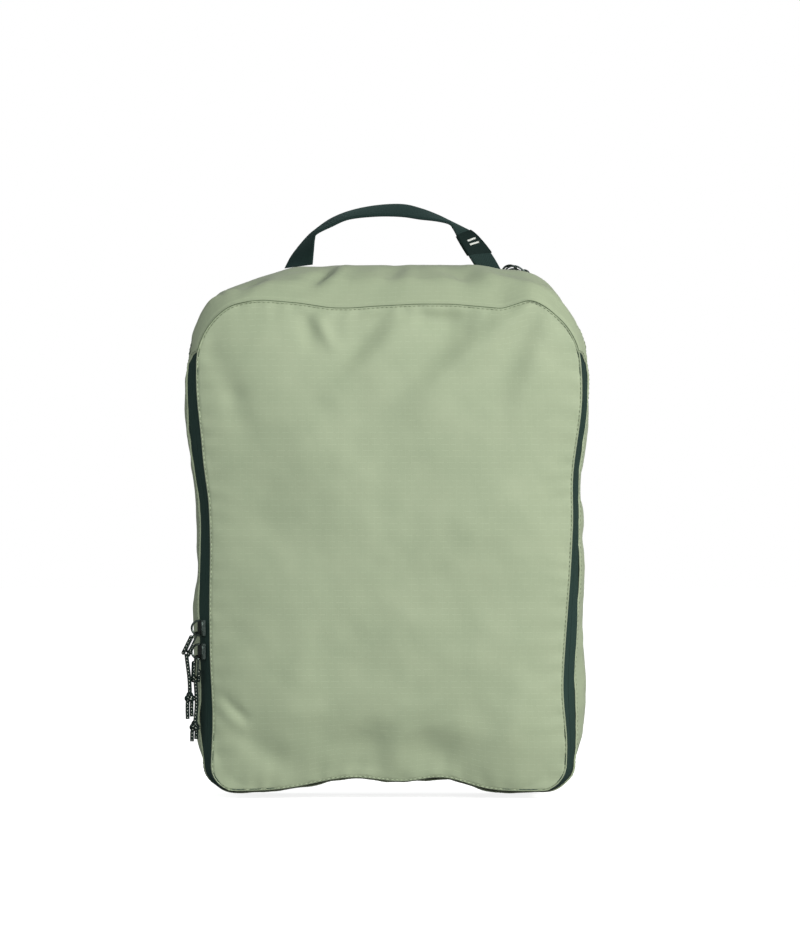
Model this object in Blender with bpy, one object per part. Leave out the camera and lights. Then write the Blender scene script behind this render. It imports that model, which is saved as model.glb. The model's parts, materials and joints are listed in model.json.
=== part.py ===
"""Packing cube: a soft two-sided travel pouch with a carry handle and two zips.

Metres, +Z up. The front faces -Y and +X is to the right. The origin is on the surface that
the cube stands on, under the middle of the body, and the middle seam lies in the plane y = 0.
"""

from collections import namedtuple
from math import cos, pi, radians, sin, sqrt

import bmesh
import bpy
from mathutils import Vector

MM = 0.001

# Overall form: outlines of the front seam, the two gusset edges, the middle seam and the rear seam.
Outline = namedtuple("Outline", "y half flare low top low_radius top_radius")
SEAM_Y = 48 * MM                # depth of the panel seams from the middle seam
GUSSET_Y = 34 * MM              # depth of the gusset edges that hold the zip tapes
FRONT_SEAM = Outline(-SEAM_Y, 120.8 * MM, 9.2 * MM, 2.0 * MM, 333 * MM, 18 * MM, 33 * MM)
FRONT_EDGE = Outline(-GUSSET_Y, 126.8 * MM, 9.2 * MM, 0.0, 350 * MM, 20 * MM, 45 * MM)
MIDDLE = Outline(0.0, 130.5 * MM, 6.5 * MM, 0.0, 361 * MM, 22 * MM, 58 * MM)
REAR_EDGE = Outline(GUSSET_Y, 126.8 * MM, 9.2 * MM, 0.0, 357 * MM, 20 * MM, 56 * MM)
REAR_SEAM = Outline(SEAM_Y, 120.8 * MM, 9.2 * MM, 2.0 * MM, 351 * MM, 18 * MM, 50 * MM)
FLARE_START = 195 * MM          # the body widens by its flare between these two heights
FLARE_END = 285 * MM
CROWN = 13 * MM                 # how far the stuffed panels stand out of their seams

# Fabric, seams and running gaps.
FABRIC = 1.0 * MM
TAPE = 0.8 * MM
BINDING = 0.6 * MM
GAP = 0.3 * MM
SEAM_CLEARANCE = 1.1 * MM       # from the panel seam to the tape or gusset sewn to it
FOLD_Z = 300 * MM               # height at which the front flap folds

# Zips. Depth is measured from the coil line towards the body, lift outwards from the tape.
COIL_Y = 41 * MM                # depth of the coil line from the middle seam
TAPE_SLOPE = 6.0 / 14.0         # outward rise of the tape for each unit of depth
HALF_OPENING = 0.6 * MM         # from the coil line to each tape's inner edge
COIL_WIDTH = 1.8 * MM
COIL_TOP = -1.1 * MM
COIL_FLOOR = -2.5 * MM
BINDING_DEPTH = (3.0 * MM, 5.6 * MM)

# Sliders and pulls.
SLIDER_LENGTH = 10.5 * MM
UPPER_SLIDER_Z = 114 * MM
LOWER_SLIDER_Z = 98 * MM
REAR_SLIDER_ANGLE = radians(5.0)
PLATE_LIFT = (1.7 * MM, 2.9 * MM)
BAIL_HEIGHT = 5.2 * MM
BAIL_HALF_LENGTH = 5.1 * MM
BAIL_WIRE = 0.75 * MM
PULL_WIRE = 0.65 * MM
PULL_LENGTH = 15.0 * MM
PULL_HALF_WIDTH = 2.75 * MM
PIVOT_SHIFT = -2.8 * MM         # the pull hangs in the lower end of the bail
PIVOT_LIFT = 4.6 * MM
CORD = 1.05 * MM

# Handle.
WEBBING_WIDTH = 20 * MM
WEBBING = 1.6 * MM
HANDLE_CENTRE_X = 4.5 * MM
HANDLE_HALF_SPAN = 65 * MM
HANDLE_RISE = 37 * MM
HANDLE_BASE_Z = MIDDLE.top + 1.2 * MM
EDGE_ON_TWIST = radians(80)
CROWN_TWIST = radians(64)
HANDLE_STEPS = 40
LABEL_STEPS = range(31, 37)     # the label covers the right leg between these steps

SAGE = (0.36, 0.45, 0.29)
DARK_GREEN = (0.02, 0.045, 0.04)
WEBBING_GREEN = (0.012, 0.025, 0.022)
GUNMETAL = (0.12, 0.13, 0.12)


# --- Scene, materials and empties ---------------------------------------------------------------

def clear_scene():
    for item in list(bpy.data.objects):
        bpy.data.objects.remove(item, do_unlink=True)


def make_material(name, colour, roughness, metallic=0.0):
    material = bpy.data.materials.new(name)
    material.use_nodes = True
    shader = material.node_tree.nodes["Principled BSDF"]
    shader.inputs["Base Color"].default_value = (*colour, 1.0)
    shader.inputs["Roughness"].default_value = roughness
    shader.inputs["Metallic"].default_value = metallic
    return material


def make_pivot(name, place, parent=None):
    """An empty on a joint's axis; the pieces that move on that joint are its children."""
    pivot = bpy.data.objects.new(name, None)
    bpy.context.collection.objects.link(pivot)
    pivot.empty_display_size = 0.01
    pivot["place"] = place
    pivot.parent = parent
    pivot.location = Vector(place) - world_place(parent)
    return pivot


def world_place(pivot):
    return Vector(pivot["place"]) if pivot else Vector((0.0, 0.0, 0.0))


def make_piece(name, points, faces, look, pivot=None):
    """One closed solid, whose points are given in the cube's own frame."""
    origin = world_place(pivot)
    mesh = bpy.data.meshes.new(name)
    mesh.from_pydata([Vector(point) - origin for point in points], [], faces)
    work = bmesh.new()
    work.from_mesh(mesh)
    bmesh.ops.recalc_face_normals(work, faces=work.faces)
    work.to_mesh(mesh)
    work.free()
    mesh.shade_smooth()
    mesh.set_sharp_from_angle(angle=radians(35))
    colour, roughness, metallic = look
    mesh.materials.append(make_material(name, colour, roughness, metallic))
    piece = bpy.data.objects.new(name, mesh)
    bpy.context.collection.objects.link(piece)
    piece.parent = pivot
    return piece


def join_solids(target, other):
    """Add the other solid to target, and leave the other one out of the model."""
    modifier = target.modifiers.new("join", "BOOLEAN")
    modifier.operation = "UNION"
    modifier.solver = "EXACT"
    modifier.object = other
    other.hide_render = True
    other.display_type = "WIRE"


# --- Outlines -----------------------------------------------------------------------------------

def ease(value):
    value = min(1.0, max(0.0, value))
    return value * value * (3.0 - 2.0 * value)


def mix(a, b, share):
    return Outline(*[low + (high - low) * share for low, high in zip(a, b)])


def inset(outline, distance):
    return outline._replace(
        half=outline.half - distance,
        low=outline.low + distance,
        top=outline.top - distance,
        low_radius=outline.low_radius - distance,
        top_radius=outline.top_radius - distance,
    )


def half_width(outline, z):
    """Half the outline's width at a height, with its rounded corners."""
    width = outline.half + outline.flare * ease((z - FLARE_START) / (FLARE_END - FLARE_START))
    low_rise = outline.low + outline.low_radius - z
    top_rise = z - (outline.top - outline.top_radius)
    if low_rise > 0:
        width -= outline.low_radius - sqrt(max(0.0, outline.low_radius ** 2 - low_rise ** 2))
    if top_rise > 0:
        width -= outline.top_radius - sqrt(max(0.0, outline.top_radius ** 2 - top_rise ** 2))
    return width


LOW_SHARES = (0.0, 0.5, 1.0)
SIDE_SHARES = (0.0, 0.14, 0.30, 0.46, 0.60, 0.70, 0.80, 0.90, 0.978, 1.0)
TOP_SHARES = (1.0, 0.95, 0.5, 0.0)
LOW_ARC_STEPS = 5
TOP_ARC_STEPS = 9


def right_half(outline):
    """Points from the middle of the bottom, up the right side, to the middle of the top."""
    wide_top = outline.half + outline.flare
    low_centre = (outline.half - outline.low_radius, outline.low + outline.low_radius)
    top_centre = (wide_top - outline.top_radius, outline.top - outline.top_radius)
    points = [(low_centre[0] * share, outline.low) for share in LOW_SHARES[:-1]]
    for step in range(LOW_ARC_STEPS):
        angle = step / LOW_ARC_STEPS * pi / 2
        points.append((low_centre[0] + outline.low_radius * sin(angle),
                       low_centre[1] - outline.low_radius * cos(angle)))
    for share in SIDE_SHARES[:-1]:
        z = low_centre[1] + (top_centre[1] - low_centre[1]) * share
        points.append((half_width(outline, z), z))
    for step in range(TOP_ARC_STEPS):
        angle = step / TOP_ARC_STEPS * pi / 2
        points.append((top_centre[0] + outline.top_radius * cos(angle),
                       top_centre[1] + outline.top_radius * sin(angle)))
    points += [(top_centre[0] * share, outline.top) for share in TOP_SHARES]
    return points


def loop(outline):
    """The whole outline, anticlockwise from the middle of the bottom, as 3-D points."""
    right = right_half(outline)
    left = [(-x, z) for x, z in reversed(right[1:-1])]
    return [(x, outline.y, z) for x, z in right + left]


ZIP_END_STEP = len(LOW_SHARES) - 1 + LOW_ARC_STEPS + len(SIDE_SHARES) - 2
HINGE_STEP = len(LOW_SHARES) - 1 + LOW_ARC_STEPS + len(SIDE_SHARES) - 1 + TOP_ARC_STEPS
HALF_STEPS = len(right_half(MIDDLE)) - 1
LOOP_STEPS = 2 * HALF_STEPS


def tape_outline(sign, depth):
    """The outline of a zip's tape surface at a depth from its coil line."""
    seam, edge = (FRONT_SEAM, FRONT_EDGE) if sign < 0 else (REAR_SEAM, REAR_EDGE)
    share = (SEAM_Y - COIL_Y + depth) / (SEAM_Y - GUSSET_Y)
    return mix(seam, edge, share)


def wall_outline(sign, distance):
    """The outline of the gusset at a distance from the middle seam, towards one side."""
    edge = FRONT_EDGE if sign < 0 else REAR_EDGE
    bulge = sin((1.0 - distance / GUSSET_Y) * pi / 2)
    return mix(edge, MIDDLE, bulge)._replace(y=sign * distance)


# --- Slabs --------------------------------------------------------------------------------------

def slab(outer, inner, closed):
    """A thin solid between two grids of points, with rows along it and columns across it."""
    rows = len(outer)
    columns = len(outer[0])
    points = [point for row in outer for point in row] + [point for row in inner for point in row]
    back = rows * columns

    def at(row, column, side):
        return side * back + (row % rows) * columns + column

    faces = []
    for row in range(rows if closed else rows - 1):
        for column in range(columns - 1):
            for side in (0, 1):
                faces.append((at(row, column, side), at(row + 1, column, side),
                              at(row + 1, column + 1, side), at(row, column + 1, side)))
        for column in (0, columns - 1):
            faces.append((at(row, column, 0), at(row + 1, column, 0),
                          at(row + 1, column, 1), at(row, column, 1)))
    if not closed:
        for row in (0, rows - 1):
            for column in range(columns - 1):
                faces.append((at(row, column, 0), at(row, column + 1, 0),
                              at(row, column + 1, 1), at(row, column, 1)))
    return points, faces


def band(outlines, thickness, steps, closed=False):
    """A strip that follows the body's wall across several outlines, over some of its steps."""
    outer_loops = [loop(outline) for outline in outlines]
    inner_loops = [loop(inset(outline, thickness)) for outline in outlines]
    outer = [[ring[step % LOOP_STEPS] for ring in outer_loops] for step in steps]
    inner = [[ring[step % LOOP_STEPS] for ring in inner_loops] for step in steps]
    return slab(outer, inner, closed)


def zip_steps(sign):
    """The steps that a zip runs over, from its left end round the bottom to its right end."""
    end = ZIP_END_STEP if sign < 0 else HINGE_STEP
    return range(-end, end + 1)


# --- Panels -------------------------------------------------------------------------------------

def crown(outline, x, z):
    """How far a stuffed panel stands out of its seam at a point."""
    across = abs(x) / half_width(outline._replace(low_radius=0.0, top_radius=0.0), z)
    centre = (outline.low + outline.top) / 2
    along = abs(z - centre) / ((outline.top - outline.low) / 2)
    reach = min(1.0, (across ** 8 + along ** 8) ** 0.125)
    return CROWN * (1.0 - reach ** 3)


def panel_grid(outline, sign, heights, columns, lift):
    """Rows of points over a crowned panel; lift is measured outwards from its inner face."""
    rows = []
    for z in heights:
        half = half_width(outline, z)
        row = []
        for column in range(columns + 1):
            x = half * (2.0 * column / columns - 1.0)
            row.append((x, outline.y + sign * (crown(outline, x, z) + lift), z))
        rows.append(row)
    return rows


def spaced(start, end, count):
    return [start + (end - start) * step / count for step in range(count + 1)]


def arc_heights(outline, at_top):
    """Heights that divide a corner's arc evenly."""
    steps = range(TOP_ARC_STEPS) if at_top else range(LOW_ARC_STEPS)
    if at_top:
        start = outline.top - outline.top_radius
        return [start + outline.top_radius * sin(step / TOP_ARC_STEPS * pi / 2) for step in steps]
    start = outline.low + outline.low_radius
    return [start - outline.low_radius * cos(step / LOW_ARC_STEPS * pi / 2) for step in steps]


def make_front_panel(flap):
    look = (SAGE, 0.75, 0.0)
    heights = arc_heights(FRONT_SEAM, False) + spaced(20 * MM, FOLD_Z - GAP, 13)
    outer = panel_grid(FRONT_SEAM, -1, heights, 14, 0.0)
    inner = panel_grid(FRONT_SEAM, -1, heights, 14, -FABRIC)
    make_piece("front_panel", *slab(outer, inner, False), look, flap)
    heights = [FOLD_Z + GAP] + arc_heights(FRONT_SEAM, True)[1:] + [FRONT_SEAM.top]
    outer = panel_grid(FRONT_SEAM, -1, heights, 14, 0.0)
    inner = panel_grid(FRONT_SEAM, -1, heights, 14, -FABRIC)
    make_piece("front_panel_head", *slab(outer, inner, False), look)


WINDOW_HALF = 84 * MM
WINDOW_LOW = 44 * MM
WINDOW_TOP = 304 * MM
WINDOW_RADIUS = 30 * MM


def window_outline():
    return Outline(SEAM_Y, WINDOW_HALF, 4 * MM, WINDOW_LOW, WINDOW_TOP, WINDOW_RADIUS, WINDOW_RADIUS)


def crowned_loop(outline, lift):
    return [(x, SEAM_Y + crown(REAR_SEAM, x, z) + lift, z) for x, y, z in loop(outline)]


def crowned_band(outlines, low_lift, high_lift):
    """A closed frame on the crowned back, through several outlines."""
    outer_loops = [crowned_loop(outline, high_lift) for outline in outlines]
    inner_loops = [crowned_loop(outline, low_lift) for outline in outlines]
    outer = [[ring[step] for ring in outer_loops] for step in range(LOOP_STEPS)]
    inner = [[ring[step] for ring in inner_loops] for step in range(LOOP_STEPS)]
    return slab(outer, inner, True)


def make_back_panel(flap):
    """The rear flap: a fabric frame, a mesh window and the binding that covers their seam."""
    window = window_outline()
    frame_rings = [mix(REAR_SEAM, window, share) for share in (0.0, 0.35, 0.7, 1.0)]
    make_piece("back_panel_border", *crowned_band(frame_rings, -FABRIC, 0.0), (SAGE, 0.75, 0.0), flap)
    pane = inset(window, GAP)
    heights = arc_heights(pane, False) + spaced(pane.low + pane.low_radius,
                                                pane.top - pane.top_radius, 8)
    heights += arc_heights(pane, True)[1:] + [pane.top]
    outer = []
    inner = []
    for z in heights:
        half = half_width(pane, z)
        xs = spaced(-half, half, 10)
        outer.append([(x, SEAM_Y + crown(REAR_SEAM, x, z) - 0.2 * MM, z) for x in xs])
        inner.append([(x, SEAM_Y + crown(REAR_SEAM, x, z) - 0.8 * MM, z) for x in xs])
    make_piece("back_mesh_window", *slab(outer, inner, False), (DARK_GREEN, 0.8, 0.0), flap)
    cover = [inset(window, -4 * MM), inset(window, 4 * MM)]
    make_piece("window_binding", *crowned_band(cover, 2 * GAP, 2 * GAP + BINDING),
               (DARK_GREEN, 0.7, 0.0), flap)


# --- Gussets, divider and zips ------------------------------------------------------------------

def gusset(sign):
    """One half of the wall; where the panel isn't zipped it reaches out to the panel's seam."""
    depths = [GUSSET_Y * share for share in (1.0, 0.75, 0.5, 0.25)] + [GAP]
    rings = [wall_outline(sign, depth) for depth in depths]
    reach = tape_outline(sign, SEAM_CLEARANCE - (SEAM_Y - COIL_Y))
    first_free_step = (ZIP_END_STEP if sign < 0 else HINGE_STEP) + 1
    wide_rings = [reach, mix(reach, rings[0], 0.5)] + rings
    narrow_rings = [rings[0], mix(rings[0], rings[1], 0.3), mix(rings[0], rings[1], 0.6)] + rings[1:]
    grids = []
    for thickness in (0.0, FABRIC):
        wide = [loop(inset(ring, thickness)) for ring in wide_rings]
        narrow = [loop(inset(ring, thickness)) for ring in narrow_rings]
        grid = []
        for step in range(LOOP_STEPS):
            from_bottom = min(step, LOOP_STEPS - step)
            loops = wide if from_bottom >= first_free_step else narrow
            grid.append([ring[step] for ring in loops])
        grids.append(grid)
    return slab(*grids, True)


def make_walls():
    look = (SAGE, 0.75, 0.0)
    make_piece("front_gusset", *gusset(-1), look)
    make_piece("rear_gusset", *gusset(1), look)
    edge = inset(MIDDLE, FABRIC + 2 * GAP)
    heights = arc_heights(edge, False) + spaced(edge.low + edge.low_radius,
                                                edge.top - edge.top_radius, 9)
    heights += arc_heights(edge, True)[1:] + [edge.top]
    faces = []
    for y in (-0.4 * MM, 0.4 * MM):
        faces.append([[(x, y, z) for x in spaced(-half_width(edge, z), half_width(edge, z), 6)]
                      for z in heights])
    make_piece("divider_panel", *slab(*faces, False), look)
    rings = [inset(wall_outline(-1, depth), FABRIC + 2 * GAP) for depth in (5.8 * MM, 0.8 * MM)]
    make_piece("middle_seam_binding", *band(rings, BINDING, range(LOOP_STEPS), True),
               (DARK_GREEN, 0.7, 0.0))


def make_zip(side, sign, flap):
    """Both halves of a zip: the flap half moves with the flap, the body half stays."""
    steps = zip_steps(sign)
    flap_edge = SEAM_CLEARANCE - (SEAM_Y - COIL_Y)
    body_edge = COIL_Y - GUSSET_Y - GAP
    halves = (("flap", -1, flap_edge, flap), ("body", 1, body_edge, None))
    for half, way, far_edge, pivot in halves:
        tape = [tape_outline(sign, way * HALF_OPENING), tape_outline(sign, far_edge)]
        make_piece(f"{side}_zip_{half}_tape", *band(tape, TAPE, steps), (DARK_GREEN, 0.7, 0.0), pivot)
        coil = [tape_outline(sign, way * HALF_OPENING),
                tape_outline(sign, way * (HALF_OPENING + COIL_WIDTH))]
        coil = [inset(outline, -COIL_TOP) for outline in coil]
        make_piece(f"{side}_zip_{half}_coil", *band(coil, COIL_TOP - COIL_FLOOR, steps),
                   (DARK_GREEN, 0.45, 0.0), pivot)
        cover = [inset(tape_outline(sign, way * depth), -COIL_TOP) for depth in BINDING_DEPTH]
        make_piece(f"{side}_{half}_binding", *band(cover, BINDING, steps),
                   (DARK_GREEN, 0.7, 0.0), pivot)


# --- Sliders and pulls --------------------------------------------------------------------------

def left_zip_place(height):
    """Maps (travel, depth, lift) at a height on the left run of the front zip."""
    base = tape_outline(-1, 0.0).half

    def place(travel, depth, lift):
        return (-(base + TAPE_SLOPE * depth + lift), -COIL_Y + depth, height + travel)
    return place


REAR_ARC_CENTRE = (REAR_SEAM.half + REAR_SEAM.flare - REAR_SEAM.top_radius,
                   REAR_SEAM.top - REAR_SEAM.top_radius)


def rear_zip_place(angle):
    """Maps (travel, depth, lift) on the top right arc of the rear zip; travel runs to the left."""
    base = tape_outline(1, 0.0).top_radius

    def place(travel, depth, lift):
        turn = angle - travel / base
        radius = base + TAPE_SLOPE * depth + lift
        return (REAR_ARC_CENTRE[0] + radius * sin(turn), COIL_Y - depth,
                REAR_ARC_CENTRE[1] + radius * cos(turn))
    return place


SLIDER_SECTION = (
    (-3.5 * MM, PLATE_LIFT[0]), (-0.3 * MM, PLATE_LIFT[0]), (-0.3 * MM, -1.2 * MM),
    (0.15 * MM, -2.2 * MM), (0.15 * MM, -4.1 * MM), (3.6 * MM, -4.1 * MM),
    (3.6 * MM, -3.2 * MM), (0.7 * MM, -3.2 * MM), (0.42 * MM, -2.2 * MM), (0.3 * MM, -1.2 * MM),
    (0.3 * MM, PLATE_LIFT[0]), (2.9 * MM, PLATE_LIFT[0]), (2.9 * MM, 0.35 * MM),
    (3.7 * MM, 0.35 * MM), (3.7 * MM, PLATE_LIFT[1] - 0.4 * MM), (3.1 * MM, PLATE_LIFT[1]),
    (-3.0 * MM, PLATE_LIFT[1]), (-3.5 * MM, PLATE_LIFT[1] - 0.4 * MM),
)


def slider_solid(place):
    """The slider's section, extruded along its travel and narrowed at the end that closes."""
    ends = ((-0.5, 0.72), (-0.38, 0.92), (-0.2, 1.0), (0.2, 1.0), (0.38, 0.92), (0.5, 0.78))
    count = len(SLIDER_SECTION)
    points = []
    for share, narrow in ends:
        for depth, lift in SLIDER_SECTION:
            shrink = narrow if abs(depth) > 0.5 * MM else 1.0
            points.append(place(share * SLIDER_LENGTH, depth * shrink, lift))
    faces = [tuple(range(count)), tuple(range(len(points) - count, len(points)))]
    for ring in range(len(ends) - 1):
        for step in range(count):
            after = (step + 1) % count
            faces.append((ring * count + step, ring * count + after,
                          (ring + 1) * count + after, (ring + 1) * count + step))
    return points, faces


def tube(path, radius, closed, sides=8):
    """A round wire along a path of points; the section is carried along without twisting."""
    count = len(path)
    points = []
    across = None
    for step in range(count):
        before = path[(step - 1) % count] if closed or step > 0 else path[step]
        after = path[(step + 1) % count] if closed or step < count - 1 else path[step]
        ahead = (after - before).normalized()
        if across is None:
            across = ahead.orthogonal().normalized()
        across = (across - ahead * across.dot(ahead)).normalized()
        other = ahead.cross(across)
        size = radius[step] if isinstance(radius, list) else radius
        for side in range(sides):
            angle = 2 * pi * side / sides
            points.append(path[step] + (across * cos(angle) + other * sin(angle)) * size)
    faces = []
    for step in range(count if closed else count - 1):
        for side in range(sides):
            near = (step % count) * sides
            far = ((step + 1) % count) * sides
            turn = (side + 1) % sides
            faces.append((near + side, near + turn, far + turn, far + side))
    if not closed:
        faces.append(tuple(range(sides)))
        faces.append(tuple(range((count - 1) * sides, count * sides)))
    return points, faces


def bail_solid(place):
    """The arched wire on top of the slider that holds the pull."""
    path = []
    for step in range(13):
        angle = pi * step / 12
        rise = PLATE_LIFT[1] - 0.3 * MM + (BAIL_HEIGHT + 0.3 * MM) * sin(angle)
        path.append(Vector(place(-BAIL_HALF_LENGTH * cos(angle), 0.0, rise)))
    return tube(path, BAIL_WIRE, False)


def pull_path():
    """The long wire loop in its own plane, as (distance down the loop, distance across it)."""
    bend = PULL_HALF_WIDTH
    far_bend = PULL_LENGTH - bend
    path = []
    for step in range(9):
        angle = pi * step / 8
        path.append((bend - bend * sin(angle), bend * cos(angle)))
    for step in range(9):
        angle = pi * step / 8
        path.append((far_bend + bend * sin(angle), -bend * cos(angle)))
    return path


# Shares of a pull cord's length and the cord's half thickness there: strands, knot and tails.
CORD_STAGES = ((0.0, 1.3), (0.12, 1.45), (0.3, 1.35), (0.5, 1.35), (0.58, 2.0), (0.63, 2.9),
               (0.7, 3.0), (0.76, 2.1), (0.85, 2.0), (0.95, 2.0), (1.0, 1.7))
CORD_SIZES = [size * MM for share, size in CORD_STAGES]


def make_pull(prefix, anchor, tip, across, strand, slider_pivot):
    """A wire loop from anchor to tip and a knotted cord along a strand; each has its own pivot."""
    wire_pivot = make_pivot(f"{prefix}_pull_pivot", anchor, slider_pivot)
    down = (tip - anchor).normalized()
    loop_points = [anchor + down * along + across * aside
                   for along, aside in pull_path()]
    make_piece(f"{prefix}_pull_wire", *tube(loop_points, PULL_WIRE, True), (GUNMETAL, 0.35, 1.0),
               wire_pivot)
    cord_pivot = make_pivot(f"{prefix}_cord_pivot", tip, wire_pivot)
    start = (strand[1] - tip).normalized()
    side = start.cross(across).normalized()
    eye_radius = PULL_WIRE + GAP + CORD
    turns = [2 * pi * step / 16 for step in range(16)]
    eye = [tip + (start * cos(turn) + side * sin(turn)) * eye_radius for turn in turns]
    look = (WEBBING_GREEN, 0.8, 0.0)
    eye_ring = make_piece(f"{prefix}_cord_eye", *tube(eye, CORD, True), look, cord_pivot)
    path = [tip + start * eye_radius] + strand[1:]
    cord = make_piece(f"{prefix}_pull_cord", *tube(path, CORD_SIZES, False), look, cord_pivot)
    join_solids(cord, eye_ring)


def make_slider(prefix, place, pivot):
    slider = make_piece(f"{prefix}_slider", *slider_solid(place), (GUNMETAL, 0.4, 1.0), pivot)
    bail = make_piece(f"{prefix}_slider_bail", *bail_solid(place), (GUNMETAL, 0.4, 1.0), pivot)
    join_solids(slider, bail)


UPPER_PULL_TILT = radians(28)
LOWER_PULL_TILT = radians(2)
REAR_PULL_TILT = radians(20)
UPPER_CORD_LENGTH = 44 * MM
LOWER_CORD_LENGTH = 40 * MM
REAR_CORD_LENGTH = 30 * MM


def make_front_sliders():
    across = Vector((-TAPE_SLOPE, 1.0, 0.0)).normalized()
    outward = Vector((-1.0, -TAPE_SLOPE, 0.0)).normalized()
    plumb = Vector((0.0, 0.0, -1.0))
    for prefix, height, tilt, cord_length in (
            ("upper", UPPER_SLIDER_Z, UPPER_PULL_TILT, UPPER_CORD_LENGTH),
            ("lower", LOWER_SLIDER_Z, LOWER_PULL_TILT, LOWER_CORD_LENGTH)):
        place = left_zip_place(height)
        pivot = make_pivot(f"{prefix}_slider_pivot", place(0.0, 0.0, 0.0))
        make_slider(prefix, place, pivot)
        anchor = Vector(place(PIVOT_SHIFT, 0.0, PIVOT_LIFT))
        tip = anchor + (outward * sin(tilt) + plumb * cos(tilt)) * PULL_LENGTH
        strand = [tip + plumb * cord_length * share for share, size in CORD_STAGES]
        make_pull(prefix, anchor, tip, across, strand, pivot)


def make_rear_slider():
    """The rear pull lies to the right, and its cord follows the tape round the shoulder."""
    place = rear_zip_place(REAR_SLIDER_ANGLE)
    pivot = make_pivot("rear_slider_pivot", (REAR_ARC_CENTRE[0], COIL_Y, REAR_ARC_CENTRE[1]))
    make_slider("rear", place, pivot)
    anchor = Vector(place(-PIVOT_SHIFT, 0.0, PIVOT_LIFT))
    across = Vector((0.0, -1.0, TAPE_SLOPE)).normalized()
    outward = Vector((0.0, TAPE_SLOPE, 1.0)).normalized()
    along = Vector((1.0, 0.0, 0.0)) * cos(REAR_PULL_TILT) + outward * sin(REAR_PULL_TILT)
    tip = anchor + along * PULL_LENGTH
    tip_travel = -(PULL_LENGTH * cos(REAR_PULL_TILT) + PIVOT_SHIFT)
    tip_lift = PIVOT_LIFT + PULL_LENGTH * sin(REAR_PULL_TILT)
    strand = [tip]
    for share, size in CORD_STAGES[1:]:
        rest_lift = size * MM + 2 * GAP
        lift = rest_lift + (tip_lift - rest_lift) * (1.0 - ease(share / 0.4))
        strand.append(Vector(place(tip_travel - REAR_CORD_LENGTH * share, 0.0, lift)))
    make_pull("rear", anchor, tip, across, strand, pivot)


# --- Handle -------------------------------------------------------------------------------------

def handle_frame(share):
    """Centre, width direction and face direction of the webbing, from its left to its right end."""
    angle = pi * (1.0 - share)
    centre = Vector((HANDLE_CENTRE_X + HANDLE_HALF_SPAN * cos(angle), 0.0,
                     HANDLE_BASE_Z + HANDLE_RISE * sin(angle)))
    ahead = Vector((HANDLE_HALF_SPAN * sin(angle), 0.0, -HANDLE_RISE * cos(angle))).normalized()
    outward = Vector((-ahead.z, 0.0, ahead.x))
    from_end = min(share, 1.0 - share)
    twist = EDGE_ON_TWIST * ease(from_end / 0.27)
    twist -= (EDGE_ON_TWIST - CROWN_TWIST) * ease((from_end - 0.27) / 0.2)
    depth_way = Vector((0.0, 1.0, 0.0))
    width_way = outward * cos(twist) + depth_way * sin(twist)
    face_way = outward * sin(twist) - depth_way * cos(twist)
    return centre, width_way, face_way


def ribbon_corners(share, half_breadth, half_thickness):
    centre, width_way, face_way = handle_frame(share)
    corners = ((-1, -1), (1, -1), (1, 1), (-1, 1))
    return [centre + width_way * half_breadth * a + face_way * half_thickness * b for a, b in corners]


def make_handle(pivot):
    shares = spaced(0.0, 1.0, HANDLE_STEPS)
    rows = [ribbon_corners(share, WEBBING_WIDTH / 2, WEBBING / 2) for share in shares]
    points = [point for row in rows for point in row]
    faces = [(0, 1, 2, 3), tuple(range(len(points) - 4, len(points)))]
    for row in range(len(rows) - 1):
        for corner in range(4):
            after = (corner + 1) % 4
            faces.append((row * 4 + corner, row * 4 + after,
                          row * 4 + 4 + after, row * 4 + 4 + corner))
    make_piece("handle_webbing", points, faces, (WEBBING_GREEN, 0.85, 0.0), pivot)
    make_label(pivot)


def make_label(pivot):
    """A woven label folded round the handle's right leg, as a flat sleeve."""
    points = []
    shares = [step / HANDLE_STEPS for step in LABEL_STEPS]
    for share in shares:
        points += ribbon_corners(share, WEBBING_WIDTH / 2 + 1.1 * MM, WEBBING / 2 + 1.2 * MM)
        points += ribbon_corners(share, WEBBING_WIDTH / 2 + 0.5 * MM, WEBBING / 2 + 0.6 * MM)
    faces = []
    for row in range(len(shares) - 1):
        for ring in (0, 4):
            for corner in range(4):
                after = (corner + 1) % 4
                near = row * 8 + ring
                faces.append((near + corner, near + after, near + 8 + after, near + 8 + corner))
    for row in (0, len(shares) - 1):
        for corner in range(4):
            after = (corner + 1) % 4
            near = row * 8
            faces.append((near + corner, near + after, near + 4 + after, near + 4 + corner))
    make_piece("handle_label", points, faces, (WEBBING_GREEN, 0.7, 0.0), pivot)


# --- Assembly -----------------------------------------------------------------------------------

def build():
    clear_scene()
    fold_y = -(SEAM_Y + crown(FRONT_SEAM, 0.0, FOLD_Z) + 0.2 * MM)
    front_flap = make_pivot("front_flap_fold_axis", (0.0, fold_y, FOLD_Z))
    rear_flap = make_pivot("rear_flap_fold_axis", (0.0, SEAM_Y - FABRIC / 2, REAR_SEAM.top))
    handle = make_pivot("handle_fold_axis", (0.0, 0.0, HANDLE_BASE_Z))
    make_front_panel(front_flap)
    make_back_panel(rear_flap)
    make_walls()
    make_zip("front", -1, front_flap)
    make_zip("rear", 1, rear_flap)
    make_front_sliders()
    make_rear_slider()
    make_handle(handle)


build()
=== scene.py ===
"""Packing cube: the finished fabric, zips, webbing and cords, built round the fixed CAD frame.

Metres, +Z up, front facing -Y. Soft pieces are thin shells between grids of points that follow
the cube's seam outlines. drape() then gives every soft piece the same sag and fullness.
"""

import json
from collections import namedtuple
from math import cos, exp, floor, pi, radians, sin, sqrt

import bmesh
import bpy
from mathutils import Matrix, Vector, noise


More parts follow.
